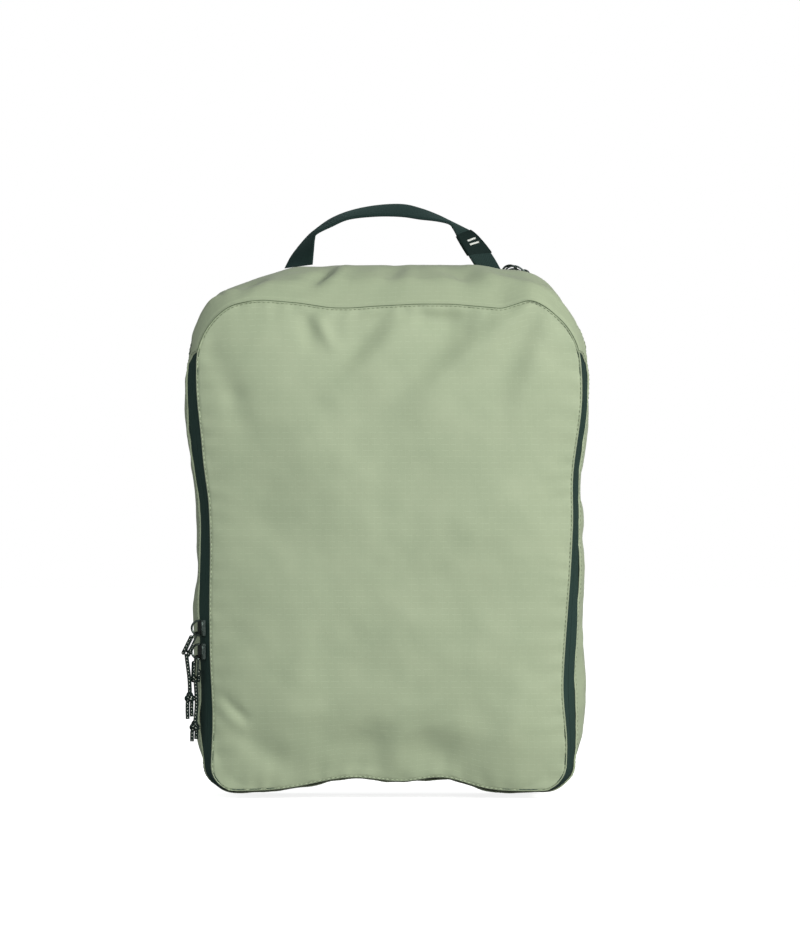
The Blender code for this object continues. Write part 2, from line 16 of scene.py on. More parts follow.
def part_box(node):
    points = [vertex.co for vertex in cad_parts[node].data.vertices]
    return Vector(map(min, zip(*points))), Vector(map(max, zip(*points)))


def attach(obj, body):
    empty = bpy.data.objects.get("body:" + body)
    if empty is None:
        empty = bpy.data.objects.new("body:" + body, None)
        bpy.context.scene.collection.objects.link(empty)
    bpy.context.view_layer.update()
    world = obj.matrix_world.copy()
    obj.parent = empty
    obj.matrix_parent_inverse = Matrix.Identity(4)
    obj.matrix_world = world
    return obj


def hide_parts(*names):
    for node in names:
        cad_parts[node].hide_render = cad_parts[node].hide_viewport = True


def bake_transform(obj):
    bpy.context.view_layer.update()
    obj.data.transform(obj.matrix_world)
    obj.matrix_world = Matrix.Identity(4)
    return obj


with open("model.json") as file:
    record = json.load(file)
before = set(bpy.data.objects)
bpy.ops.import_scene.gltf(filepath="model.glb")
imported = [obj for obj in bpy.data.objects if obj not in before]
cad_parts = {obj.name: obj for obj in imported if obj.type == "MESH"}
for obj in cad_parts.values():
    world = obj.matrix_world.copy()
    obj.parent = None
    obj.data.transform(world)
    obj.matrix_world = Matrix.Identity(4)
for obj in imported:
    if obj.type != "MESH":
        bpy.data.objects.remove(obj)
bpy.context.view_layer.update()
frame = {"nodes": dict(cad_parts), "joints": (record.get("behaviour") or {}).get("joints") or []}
MM = 0.001


# --- Driving dimensions, taken from the frame ---

panel_low, panel_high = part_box("front_panel")
head_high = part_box("front_panel_head")[1]
wall_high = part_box("front_gusset")[1]
border_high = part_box("back_panel_border")[1]
webbing_low, webbing_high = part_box("handle_webbing")
joints = {joint["name"]: joint for joint in frame["joints"]}

FLARE = 9.2 * MM
MIDDLE_FLARE = 6.5 * MM
SEAM_Y = -head_high.y + 1.0 * MM
GUSSET_Y = SEAM_Y - 14 * MM
COIL_Y = SEAM_Y - 7 * MM
SEAM_HALF = panel_high.x - FLARE
EDGE_HALF = SEAM_HALF + 6 * MM
CREST_Z = wall_high.z
CROWN = 13 * MM

Outline = namedtuple("Outline", "y half flare low top low_radius top_radius")
FRONT_SEAM = Outline(-SEAM_Y, SEAM_HALF, FLARE, panel_low.z, head_high.z, 18 * MM, 40 * MM)
FRONT_EDGE = Outline(-GUSSET_Y, EDGE_HALF, FLARE, 0.0, CREST_Z - 11 * MM, 20 * MM, 45 * MM)
MIDDLE = Outline(0.0, wall_high.x - MIDDLE_FLARE, MIDDLE_FLARE, 0.0, CREST_Z, 22 * MM, 58 * MM)
REAR_EDGE = Outline(GUSSET_Y, EDGE_HALF, FLARE, 0.0, border_high.z + 6 * MM, 20 * MM, 56 * MM)
REAR_SEAM = Outline(SEAM_Y, SEAM_HALF, FLARE, panel_low.z, border_high.z, 18 * MM, 50 * MM)
FLARE_START = 195 * MM
FLARE_END = 285 * MM

FABRIC = 0.9 * MM
TAPE = 0.6 * MM
CORD = 1.35 * MM
STRAND_STEPS = 12
FOLD_DEPTH = 1.5 * MM
FRONT = Vector((0.0, -1.0, 0.0))
BACK = Vector((0.0, 1.0, 0.0))


# --- Curves and outlines ---

def ease(value):
    value = min(1.0, max(0.0, value))
    return value * value * (3.0 - 2.0 * value)


def bump(value, centre, spread):
    return exp(-((value - centre) / spread) ** 2)


def mix(a, b, share):
    return Outline(*[first + (last - first) * share for first, last in zip(a, b)])


def inset(outline, distance):
    return outline._replace(
        half=outline.half - distance,
        low=outline.low + distance,
        top=outline.top - distance,
        low_radius=outline.low_radius - distance,
        top_radius=outline.top_radius - distance,
    )


def half_width(outline, z):
    width = outline.half + outline.flare * ease((z - FLARE_START) / (FLARE_END - FLARE_START))
    low_rise = outline.low + outline.low_radius - z
    top_rise = z - (outline.top - outline.top_radius)
    for rise, radius in ((low_rise, outline.low_radius), (top_rise, outline.top_radius)):
        if rise > 0:
            width -= radius - sqrt(max(0.0, radius ** 2 - rise ** 2))
    return width


LOW_STEPS = 36
LOW_ARC = 12
SIDE_STEPS = 96
TOP_ARC = 30
TOP_STEPS = 34
HALF_STEPS = LOW_STEPS + LOW_ARC + SIDE_STEPS + TOP_ARC + TOP_STEPS
LOOP_STEPS = 2 * HALF_STEPS
ARC_STEP = LOW_STEPS + LOW_ARC + SIDE_STEPS      # first step of the top corner
FRONT_END = ARC_STEP + 5                         # the front zip's ends lie under the gusset there
REAR_END = ARC_STEP + TOP_ARC                    # the rear zip ends on the straight top


def right_point(outline, step):
    """(x, z) on the outline's right half, counted from the middle of the bottom."""
    low_x = outline.half - outline.low_radius
    low_z = outline.low + outline.low_radius
    top_x = outline.half + outline.flare - outline.top_radius
    top_z = outline.top - outline.top_radius
    if step <= LOW_STEPS:
        return (low_x * step / LOW_STEPS, outline.low)
    step -= LOW_STEPS
    if step <= LOW_ARC:
        angle = step / LOW_ARC * pi / 2
        return (low_x + outline.low_radius * sin(angle), low_z - outline.low_radius * cos(angle))
    step -= LOW_ARC
    if step <= SIDE_STEPS:
        z = low_z + (top_z - low_z) * step / SIDE_STEPS
        return (half_width(outline, z), z)
    step -= SIDE_STEPS
    if step <= TOP_ARC:
        angle = step / TOP_ARC * pi / 2
        return (top_x + outline.top_radius * cos(angle), top_z + outline.top_radius * sin(angle))
    step -= TOP_ARC
    return (top_x * (1.0 - step / TOP_STEPS), outline.top)


def loop_point(outline, step):
    """A point on the whole outline, anticlockwise seen from the front."""
    step %= LOOP_STEPS
    side = 1 if step <= HALF_STEPS else -1
    x, z = right_point(outline, step if side > 0 else LOOP_STEPS - step)
    return Vector((side * x, outline.y, z))


def tape_outline(sign, depth):
    """The zip tape's outline at a depth from its coil line, towards the body."""
    seam, edge = (FRONT_SEAM, FRONT_EDGE) if sign < 0 else (REAR_SEAM, REAR_EDGE)
    return mix(seam, edge, (SEAM_Y - COIL_Y + depth) / (SEAM_Y - GUSSET_Y))


def wall_outline(sign, distance):
    """The gusset's outline at a distance from the middle seam."""
    if distance > GUSSET_Y:
        return tape_outline(sign, COIL_Y - distance)
    edge = FRONT_EDGE if sign < 0 else REAR_EDGE
    bulge = sin((1.0 - distance / GUSSET_Y) * pi / 2)
    return mix(edge, MIDDLE, bulge)._replace(y=sign * distance)


def outward_way(outline, step):
    """The direction out of an outline, at a step."""
    return (loop_point(inset(outline, -1.0 * MM), step) - loop_point(outline, step)).normalized()


# --- Drape: the sag and fullness that all soft pieces share ---

def profile(value, knots):
    """Height on straight lines between (place, height) knots, which are in millimetres."""
    value /= MM
    if value <= knots[0][0]:
        return knots[0][1] * MM
    for (start, low), (end, high) in zip(knots, knots[1:]):
        if value <= end:
            return (low + (high - low) * (value - start) / (end - start)) * MM
    return knots[-1][1] * MM


def softened(value, knots, reach=4 * MM):
    """profile() averaged over a short reach, so that its corners are round."""
    return sum(profile(value + reach * step / 2, knots) for step in range(-2, 3)) / 5


# How far the crest sags below a plain round shoulder, against x.
LEFT_SAG = ((-130, -6.6), (-118, -6.6), (-108, -8.6), (-98, -9.6), (-90, -9), (-80, -6.6),
            (-70, -3.2), (-60, -0.8), (-52, -0.9), (-44, -1.6), (-38, -0.4), (-30, 0), (0, 0))
RIGHT_SAG = ((0, 0), (7, -0.7), (14, 0), (56, 0), (68, -1), (78, -3.2), (88, -2.8),
             (97, -2), (105, -2.3), (113, -3.9), (118, -6.6), (124, -8.6), (130, -9.6))
# How far the crest stands out beyond a plain straight side, against z.
LEFT_FULLNESS = ((0, -7), (15, -6), (28, -2.8), (45, 0), (105, 0.8), (120, 1.8), (135, 1.2),
                 (146, -0.6), (153, -3.2), (160, -0.8), (180, -1), (200, 0), (237, 1.4),
                 (270, 0.4), (290, -1.8), (305, -5), (314, -7.8), (324, -8.2), (334, -4.6), (346, 0))
RIGHT_FULLNESS = ((0, -5.5), (12, -4), (28, 0.6), (50, 4.8), (70, 5.6), (92, 5), (112, 2.9),
                  (135, 3.9), (160, 4.1), (185, 2.6), (210, 1.4), (235, 1.2), (257, 1.7),
                  (275, 0), (290, -3.2), (305, -7), (314, -8.2), (322, -7.4), (334, -3.4), (345, 0))
# How the top seam of the front panel wanders, against x.
SEAM_WAVE = ((-130, 0), (-118, 1.3), (-108, 2.6), (-98, 2.1), (-84, 3), (-60, 1), (-38, -2.3),
             (-24, -2.4), (-7, -1.1), (22, 0.3), (45, 0.2), (66, -1.7), (78, -2.8), (87, 0.2),
             (97, 3.6), (106, 2.5), (114, 0.6), (130, 0))


def bottom_rise(x):
    """The stuffed bottom stands on its two ends and arches up twice between them."""
    return (9.3 * bump(x, -22 * MM, 38 * MM) + 8.5 * bump(x, 38 * MM, 24 * MM)) * MM


# How far the front panel's sides, and the gusset's edges beside the zip, lie to the right, against z.
LEFT_PANEL = ((0, 1.9), (17, 1.9), (30, 2.4), (50, 3.4), (71, 2.6), (90, 1.4), (130, 0.9), (170, 1.6),
              (193, 0.9), (221, -1), (250, 0.9), (289, 1.3))
LEFT_WALL = ((0, 2.4), (17, 2.4), (30, 1.4), (44, -0.4), (57, 0.4), (85, 0), (130, -1.2), (160, -0.4),
             (190, 0.2), (207, -1.6), (221, -2.8), (261, -0.9), (289, 0.6), (300, 1.4), (313, 3.6),
             (324, 3), (342, 0))
RIGHT_PANEL = ((0, 0.4), (17, 0.8), (30, 1.9), (44, 1.2), (71, -1.5), (98, -0.1), (125, 1.9), (153, 4),
               (193, 5.8), (221, 3.8), (261, 3.6), (289, 2), (310, 0.6))
RIGHT_WALL = ((0, 0), (17, 0.6), (30, 2.4), (85, 1.4), (110, 3.4), (139, 4), (193, 4.6), (207, 4),
              (228, 2.2), (255, 2.9), (289, 0.6), (300, -0.8), (313, -3.6), (324, -2.6), (342, 0))


def front_shift(x, y, z):
    """The front leans to the right by an amount that wanders up the zip."""
    wall, edge = (LEFT_WALL, LEFT_PANEL) if x < 0 else (RIGHT_WALL, RIGHT_PANEL)
    across_zip = ease((-y - 35 * MM) / (12 * MM))
    shift = softened(z, wall, 10 * MM) * (1.0 - across_zip) + softened(z, edge, 10 * MM) * across_zip
    return shift * ease(abs(x) / (110 * MM))


def drape(point):
    """Where a point of the plain cube lies once the cloth sags and fills out."""
    x, y, z = point
    depth = abs(y)
    near_middle = ease((GUSSET_Y - depth) / (20 * MM)) * min(1.0, abs(x) / (100 * MM))
    shoulder = ease((46 * MM - depth) / (26 * MM)) if y < 0 else ease((COIL_Y - depth) / (15 * MM))
    if x < 0:
        if y > 0:
            shoulder = 1.0
        dx = -softened(z, LEFT_FULLNESS, 8 * MM) * near_middle
        sag = softened(x, LEFT_SAG)
    else:
        dx = softened(z, RIGHT_FULLNESS, 8 * MM) * near_middle
        sag = softened(x, RIGHT_SAG)
    dz = sag * shoulder * ease((z - 288 * MM) / (36 * MM))
    dz += bottom_rise(x) * (1.0 - ease((z - 2 * MM) / (75 * MM)))
    if y < 0:
        in_front = ease((-y - 8 * MM) / (24 * MM))
        dx += front_shift(x, y, z) * in_front
        dz += 1.6 * MM * in_front * (1.0 - ease(z / (50 * MM)))
        near_seam = ease((depth - 26 * MM) / (20 * MM)) * ease((z - 290 * MM) / (26 * MM))
        dz += softened(x, SEAM_WAVE, 3 * MM) * near_seam
    tucked = ease((38 * MM - depth) / (12 * MM))
    dz += 2.6 * MM * tucked * (1.0 - ease(z / (16 * MM)))
    dx -= 2.4 * MM * tucked * (1.0 - ease((z - 8 * MM) / (34 * MM))) * x / (120 * MM)
    return Vector((x + dx, y, z + dz))


# --- Mesh building ---

def place(piece, slot, body, *nodes):
    """Hide the frame nodes that a piece stands for and attach it to the body it moves with; the slot is not
    used.
    """
    if nodes:
        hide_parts(*nodes)
    if body == "front_flap":
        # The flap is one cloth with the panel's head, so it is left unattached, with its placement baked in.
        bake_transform(piece)
    else:
        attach(piece, body)


def add_object(name, data):
    item = bpy.data.objects.new(name, data)
    bpy.context.collection.objects.link(item)
    return item


def finish_mesh(name, shape, material, smooth_angle=180):
    """A closed mesh with the weave's coordinates in metres in its UV map."""
    points, faces, uvs = shape
    mesh = bpy.data.meshes.new(name)
    mesh.from_pydata(points, [], faces)
    layer = mesh.uv_layers.new(name="weave")
    for corner in mesh.loops:
        layer.data[corner.index].uv = uvs[corner.vertex_index]
    work = bmesh.new()
    work.from_mesh(mesh)
    bmesh.ops.recalc_face_normals(work, faces=work.faces)
    work.to_mesh(mesh)
    work.free()
    mesh.shade_smooth()
    mesh.set_sharp_from_angle(angle=radians(smooth_angle))
    mesh.materials.append(material)
    return add_object(name, mesh)


def grid_normals(grid, closed):
    last_row = len(grid) - 1
    last_column = len(grid[0]) - 1
    normals = []
    for row, here in enumerate(grid):
        before = grid[row - 1] if closed or row else here
        after = grid[(row + 1) % len(grid)] if closed or row < last_row else here
        line = []
        for column in range(last_column + 1):
            across = here[min(last_column, column + 1)] - here[max(0, column - 1)]
            normal = (after[column] - before[column]).cross(across)
            line.append(normal.normalized() if normal.length > 1e-12 else Vector())
        normals.append(line)
    return normals


def grid_uvs(grid):
    """Distances along the rows and across the columns of a grid, in metres."""
    middle = len(grid[0]) // 2
    along = 0.0
    uvs = []
    for row, points in enumerate(grid):
        if row:
            along += (points[middle] - grid[row - 1][middle]).length
        across = 0.0
        for column, point in enumerate(points):
            if column:
                across += (point - points[column - 1]).length
            uvs.append((along, across))
    return uvs


def shell(name, outer, thickness, material, closed=True, outward=None, uvs=None):
    """A cloth shell under a grid of outer points, whose outside faces outward or else off the middle."""
    rows = len(outer)
    columns = len(outer[0])
    normals = grid_normals(outer, closed)
    sample = outer[rows // 3][columns // 2]
    outside = normals[rows // 3][columns // 2].dot(outward or away_from_middle(sample)) > 0
    depth = thickness if outside else -thickness
    uvs = uvs or grid_uvs(outer)
    rings = []
    for row in range(rows):
        front = list(zip(outer[row], uvs[row * columns:(row + 1) * columns]))
        back = [(point - normal * depth, uv) for (point, uv), normal in zip(front, normals[row])]
        rings.append(front + back[::-1])
    points, faces, uvs = swept(rings, closed, False)
    around = 2 * columns
    ends = () if closed else (0, (rows - 1) * around)
    for start in ends:
        for column in range(columns - 1):
            under = start + around - 1 - column
            faces.append((start + column, start + column + 1, under - 1, under))
    return finish_mesh(name, (points, faces, uvs), material, 45)


def angles(count):
    return [2 * pi * step / count for step in range(count)]


def swept(rings, closed, capped=True):
    """Points, faces and UVs of a skin over rings of (point, uv) pairs."""
    count = len(rings)
    sides = len(rings[0])
    points = [point for section in rings for point, uv in section]
    uvs = [uv for section in rings for point, uv in section]
    faces = []
    for row in range(count if closed else count - 1):
        near = row * sides
        far = (row + 1) % count * sides
        for side in range(sides):
            turn = (side + 1) % sides
            faces.append((near + side, near + turn, far + turn, far + side))
    if capped and not closed:
        faces.append(tuple(range(sides)))
        faces.append(tuple(range((count - 1) * sides, count * sides)))
    return points, faces, uvs


def tube(path, radius, closed, sides=10):
    """A round cord along a path; its radius is one number or a list along the path."""
    count = len(path)
    rings = []
    across = None
    travelled = 0.0
    for step, centre in enumerate(path):
        before = path[step - 1] if closed or step else centre
        after = path[(step + 1) % count] if closed or step < count - 1 else centre
        ahead = (after - before).normalized()
        if across is None:
            across = ahead.orthogonal().normalized()
        across = (across - ahead * across.dot(ahead)).normalized()
        other = ahead.cross(across)
        if step:
            travelled += (centre - path[step - 1]).length
        size = radius[step] if isinstance(radius, list) else radius
        section = []
        for angle in angles(sides):
            spot = centre + (across * cos(angle) + other * sin(angle)) * size
            section.append((spot, (angle / (2 * pi), travelled)))
        rings.append(section)
    return swept(rings, closed)


def gather(parts):
    """Several bodies' points, faces and UVs as one list each."""
    points = []
    faces = []
    uvs = []
    for part_points, part_faces, part_uvs in parts:
        start = len(points)
        points += part_points
        uvs += part_uvs
        faces += [tuple(start + index for index in face) for face in part_faces]
    return points, faces, uvs


def smooth_path(knots, count):
    """A Catmull-Rom curve through knots, sampled evenly by knot."""
    path = []
    last = len(knots) - 1
    for step in range(count + 1):
        at = step / count * last
        index = min(last - 1, int(at))
        share = at - index
        p0 = knots[max(0, index - 1)]
        p1 = knots[index]
        p2 = knots[index + 1]
        p3 = knots[min(last, index + 2)]
        path.append(0.5 * ((2 * p1) + (p2 - p0) * share
                           + (2 * p0 - 5 * p1 + 4 * p2 - p3) * share ** 2
                           + (3 * p1 - p0 - 3 * p2 + p3) * share ** 3))
    return path


# --- Materials ---

class Value:
    """A node's output; sums and products of values add math nodes."""

    def __init__(self, nodes, socket):
        self.nodes = nodes
        self.socket = socket

    def __add__(self, other):
        return self.nodes.math("ADD", self, other)

    def __sub__(self, other):
        return self.nodes.math("SUBTRACT", self, other)

    def __mul__(self, other):
        return self.nodes.math("MULTIPLY", self, other)

    def __truediv__(self, other):
        return self.nodes.math("DIVIDE", self, other)


class Nodes:
    """Short ways to add and join the nodes of one material or world."""

    def __init__(self, owner, surface, inputs):
        owner.use_nodes = True
        self.owner = owner
        self.tree = owner.node_tree
        self.surface = self.tree.nodes[surface]
        self.paint(inputs)

    def feed(self, socket, value):
        """Join a value to a socket, or set the socket to a number or a colour."""
        if isinstance(value, Value):
            self.tree.links.new(value.socket, socket)
        else:
            socket.default_value = (*value, 1.0) if isinstance(value, tuple) else value

    def paint(self, inputs):
        """Join or set inputs of the surface shader, by name."""
        for key, value in inputs.items():
            self.feed(self.surface.inputs[key], value)

    def add(self, kind, inputs, output=0, **settings):
        """A new node's output, after its settings and inputs are filled in."""
        node = self.tree.nodes.new(f"ShaderNode{kind}")
        for key, value in settings.items():
            setattr(node, key, value)
        for key, value in inputs.items():
            self.feed(node.inputs[key], value)
        return Value(self, node.outputs[output])

    def math(self, operation, *values):
        return self.add("Math", dict(enumerate(values)), operation=operation)

    def uv_axes(self):
        uv = self.add("UVMap", {}, uv_map="weave")
        return [self.add("SeparateXYZ", {0: uv}, axis) for axis in (0, 1)]

    def noise(self, scale, detail=2.0):
        spot = self.add("TexCoord", {}, "Object")
        return self.add("TexNoise", {"Vector": spot, "Scale": scale, "Detail": detail}, "Fac")

    def mix_colour(self, share, first, second):
        return self.add("Mix", {0: share, 6: first, 7: second}, 2, data_type="RGBA")

    def bump(self, height, strength, distance):
        raised = self.add("Bump", {"Height": height, "Strength": strength, "Distance": distance})
        self.paint({"Normal": raised})

    def stripe(self, axis, period, duty):
        """1 on a line of each period, 0 between the lines."""
        return self.math("LESS_THAN", self.math("FRACT", axis / period), duty)

    def wave(self, axis, period):
        return self.math("SINE", axis * (2 * pi / period))


def new_material(name, inputs):
    return Nodes(bpy.data.materials.new(name), "Principled BSDF", inputs)


def ripstop(name, light, dark):
    """Coated dobby ripstop: faint broken cross lines over a fine plain weave."""
    nodes = new_material(name, {"Sheen Weight": 0.12, "Sheen Roughness": 0.5, "Specular IOR Level": 0.32})
    u, v = nodes.uv_axes()
    spacing = 4.1 * MM
    shifted = u + nodes.math("FLOOR", v / spacing) * (1.37 * MM)
    dashes = nodes.stripe(shifted + nodes.noise(160.0, 1.0) * (8 * MM), 7.4 * MM, 0.66)
    lines = nodes.stripe(v, spacing, 0.13) * dashes
    grid = nodes.math("MAXIMUM", lines, nodes.stripe(u, spacing, 0.10) * 0.35)
    patches = nodes.noise(38.0, 3.0)
    tint = nodes.mix_colour(patches, light, dark)
    line_colour = nodes.mix_colour(0.5, light, tuple(value * 1.25 for value in light))
    visible = grid * (nodes.noise(90.0) * 0.55)
    weave = nodes.wave(u, 0.55 * MM) * nodes.wave(v, 0.55 * MM)
    nodes.bump(weave * 0.12 + grid * 0.5 + nodes.noise(900.0) * 0.25, 0.35, 0.12 * MM)
    nodes.paint({"Base Color": nodes.mix_colour(visible, tint, line_colour),
                 "Roughness": patches * 0.12 + 0.55})
    return nodes.owner


def woven_tape(name, light, dark, rib, diagonal, roughness=0.72, sheen=0.0):
    """Webbing or tape: ribs across it, crossed by a diagonal twill."""
    nodes = new_material(name, {"Roughness": roughness, "Sheen Weight": sheen,
                                "Sheen Tint": (0.6, 0.95, 0.9), "Specular IOR Level": 0.12})
    u, v = nodes.uv_axes()
    twill = nodes.wave(v * diagonal + u, rib * 1.6)
    height = nodes.wave(u, rib) * 0.5 + twill * 0.5 + nodes.noise(1400.0)
    nodes.paint({"Base Color": nodes.mix_colour(height * 0.28 + 0.42, dark, light)})
    nodes.bump(height, 0.55, 0.15 * MM)
    return nodes.owner


def flecked_cord(name):
    """Braided cord: crossing strands with staggered pale flecks."""
    nodes = new_material(name, {"Roughness": 0.75, "Specular IOR Level": 0.15})
    u, v = nodes.uv_axes()
    lanes = u * 4.0
    shifted = v / (2.3 * MM) + nodes.math("FLOOR", lanes) * 0.5
    along = (nodes.math("FRACT", shifted) - 0.5) * 1.2
    across = nodes.math("FRACT", lanes) - 0.5
    fleck = nodes.math("LESS_THAN", along * along + across * across, 0.021)
    turn = u * (16 * pi)
    climb = v * (2 * pi / (1.3 * MM))
    braid = nodes.math("MAXIMUM", nodes.math("SINE", turn + climb), nodes.math("SINE", turn - climb))
    ground = nodes.mix_colour(braid * 0.3 + 0.4, (0.003, 0.008, 0.007), (0.012, 0.024, 0.021))
    nodes.paint({"Base Color": nodes.mix_colour(fleck, ground, (0.62, 0.66, 0.58))})
    nodes.bump(braid + fleck, 0.6, 0.15 * MM)
    return nodes.owner


def gunmetal(name):
    """Dark plated zinc with soft wear and fine scratches."""
    nodes = new_material(name, {"Metallic": 1.0})
    wear = nodes.mix_colour(nodes.noise(260.0, 4.0), (0.028, 0.045, 0.041), (0.115, 0.14, 0.128))
    nodes.paint({"Base Color": wear, "Roughness": nodes.noise(900.0, 3.0) * 0.22 + 0.18})
    nodes.bump(nodes.noise(1500.0), 0.15, 0.05 * MM)
    return nodes.owner


def thread(name, colour):
    """Twisted thread with painted shade: a little darker along the same noise that drives its bump."""
    nodes = new_material(name, {"Roughness": 0.6})
    twist_and_shade = nodes.noise(2500.0, 1.0)
    # Painted shade: the colour falls to 0.7 of itself where the bump's noise is high.
    nodes.paint({"Base Color": nodes.mix_colour(twist_and_shade, colour, tuple(value * 0.7 for value in colour))})
    nodes.bump(twist_and_shade, 0.3, 0.05 * MM)
    return nodes.owner


SAGE_LIGHT = (0.386, 0.446, 0.300)
SAGE_DARK = (0.312, 0.375, 0.248)
sage = ripstop("sage_ripstop", SAGE_LIGHT, SAGE_DARK)
tape_cloth = woven_tape("zip_tape_cloth", (0.032, 0.062, 0.053), (0.014, 0.032, 0.028), 0.6 * MM, 0.4)
coil_nylon = woven_tape("coil_nylon", (0.04, 0.062, 0.056), (0.014, 0.028, 0.025), 1.3 * MM, 0.0, 0.42)
binding_cloth = woven_tape("binding_cloth", (0.04, 0.068, 0.06), (0.018, 0.034, 0.03), 0.9 * MM, 0.0)
webbing_cloth = woven_tape("webbing_cloth", (0.018, 0.038, 0.035), (0.004, 0.012, 0.011), 1.1 * MM, 0.9,
                           sheen=0.09)
label_cloth = woven_tape("label_cloth", (0.010, 0.022, 0.020), (0.004, 0.010, 0.009), 0.5 * MM, 0.0)
net_thread = thread("net_thread", (0.03, 0.055, 0.048))
sage_thread = thread("sage_thread", (0.12, 0.165, 0.09))
dark_thread = thread("dark_thread", (0.02, 0.035, 0.03))
pale_thread = thread("pale_thread", (0.78, 0.8, 0.76))
cord_cloth = flecked_cord("flecked_cord")
metal = gunmetal("gunmetal")


# --- Front panel ---

def crown(outline, x, z):
    """How far a stuffed panel bulges beyond its seam."""
    across = abs(x) / half_width(outline._replace(low_radius=0.0, top_radius=0.0), z)
    centre = (outline.low + outline.top) / 2
    along = abs(z - centre) / ((outline.top - outline.low) / 2)
    reach = min(1.0, (across ** 8 + along ** 8) ** 0.125)
    return CROWN * (1.0 - reach ** 3)


def edge_distance(outline, x, z):
    """Roughly how far a point of the panel is from its seam."""
    return min(half_width(outline, z) - abs(x), outline.top - z, z - outline.low)


def hem(distance):
    """Height of the rolled edge and of the groove that its topstitching pulls in."""
    roll = 0.35 * bump(distance, 0.6 * MM, 0.5 * MM)
    groove = 0.4 * bump(distance, 1.3 * MM, 0.6 * MM)
    turned_in = 0.9 * bump(max(0.0, distance), 0.0, 0.35 * MM)
    return (roll - groove - turned_in) * MM


# Folds in the front panel: start (x, z), end (x, z), width and height, in millimetres.
FRONT_FOLDS = (
    ((-57, 329), (-52, 306), 6, -1.5), ((-49, 328), (-37, 306), 4.5, 1.5),
    ((-4, 327), (-26, 291), 10, -1.9), ((8, 320), (-34, 274), 9, 1.6),
    ((88, 331), (28, 274), 10, 2.3), ((60, 330), (16, 286), 14, -2.1),
    ((110, 318), (86, 262), 9, 1.2), ((100, 322), (70, 270), 9, -1),
    ((-110, 276), (-98, 268), 7, -0.9), ((-118, 300), (-94, 244), 9, -1.1),
    ((-112, 66), (-98, 53), 3.2, -1.1), ((-116, 60), (-100, 46), 4, 0.8),
    ((-100, 42), (-66, 18), 9, -1.3), ((98, 70), (70, 18), 11, 1.3),
    ((-12, 42), (-22, 8), 16, -1.5), ((28, 44), (38, 8), 15, -1.4),
    ((6, 44), (8, 10), 10, 0.7), ((-60, 90), (-70, 20), 14, 0.8),
    ((-95, 210), (-60, 150), 22, -1), ((70, 220), (96, 150), 24, 1),
    ((18, 327), (50, 318), 8, -1.6), ((-34, 54), (44, 50), 17, 1.3),
)


def folds(point, table):
    """Height at a point of the soft folds in a table."""
    here = Vector((point[0], point[2])) / MM
    height = 0.0
    for start, end, width, rise in table:
        along = Vector(end) - Vector(start)
        away = here - Vector(start)
        share = min(1.0, max(0.0, away.dot(along) / along.length_squared))
        fade = 0.35 + 0.65 * sin(pi * (0.08 + 0.84 * share))
        height += rise * fade * exp(-((away - along * share).length / width) ** 2)
    return height * FOLD_DEPTH


def ripple(point, scale, seed):
    """Smooth unevenness, from -1 to 1."""
    return noise.noise(Vector((point[0] / scale + seed, point[2] / scale, point[1] / scale)))


def front_point(x, z):
    """The finished outer face of the front panel."""
    flat = Vector((x, -SEAM_Y, z))
    distance = edge_distance(FRONT_SEAM, x, z)
    lift = crown(FRONT_SEAM, x, z) + folds(flat, FRONT_FOLDS) * ease(distance / (10 * MM))
    lift += 1.8 * MM * ripple(flat, 52 * MM, 3.0) * ease(distance / (25 * MM))
    lift += 0.5 * MM * ripple(flat, 16 * MM, 9.0) * ease(distance / (8 * MM))
    pucker = exp(-distance / (9 * MM)) * ease(distance / (3 * MM))
    along = x if min(FRONT_SEAM.top - z, z - FRONT_SEAM.low) < half_width(FRONT_SEAM, z) - abs(x) else z
    lift += 0.45 * MM * pucker * sin(along / (2.3 * MM) + 3.0 * ripple(flat, 30 * MM, 5.0))
    lift += hem(distance)
    flat.y -= lift
    return drape(flat)


def front_rows():
    """Heights for the panel's rows: even ones, with closer rows at the seams."""
    heights = [FRONT_SEAM.low]
    while heights[-1] < FRONT_SEAM.top - 0.05 * MM:
        z = heights[-1]
        near = min(z - FRONT_SEAM.low, FRONT_SEAM.top - z)
        heights.append(z + (0.55 * MM if near < 5 * MM else 2.2 * MM))
    heights[-1] = FRONT_SEAM.top
    return heights


def panel_columns(half):
    """Places across the panel, from one seam to the other, closer at the seams."""
    left = [-half + value * MM for value in (0.0, 0.5, 1.0, 1.5, 2.0, 2.5, 3.0, 4.0, 5.5)]
    span = half - 7.5 * MM
    middle = [span * (step / 54 - 1.0) for step in range(109)]
    return left + middle + [-value for value in reversed(left)]


def sheet(outline, heights, columns_at, point_at):
    """Rows of points that fill an outline, and their UVs."""
    outer = []
    uvs = []
    for z in heights:
        row = columns_at(half_width(outline, z))
        outer.append([point_at(x, z) for x in row])
        uvs += [(x, z) for x in row]
    return outer, uvs


def make_front_panel():
    outer, uvs = sheet(FRONT_SEAM, front_rows(), panel_columns, front_point)
    panel = shell("front_panel_cloth", outer, FABRIC, sage, False, FRONT, uvs)
    place(panel, "shell_fabric", "front_flap", "front_panel", "front_panel_head")


# --- Gussets ---

# Folds across the front gusset's top and shoulders, as in FRONT_FOLDS.
GUSSET_FOLDS = (
    ((-36, 360), (-62, 340), 3.6, -2.3), ((-27, 360), (-45, 341), 4.5, 1.8),
    ((42, 358), (86, 337), 4.5, -2.3), ((58, 360), (102, 338), 5.5, 2),
    ((-92, 352), (-112, 322), 6, -1.6), ((-76, 356), (-92, 338), 5, 1.2),
    ((104, 350), (122, 322), 6, -1.6), ((4, 360), (-4, 342), 5, -1.2),
    ((16, 360), (12, 342), 6, 1),
)


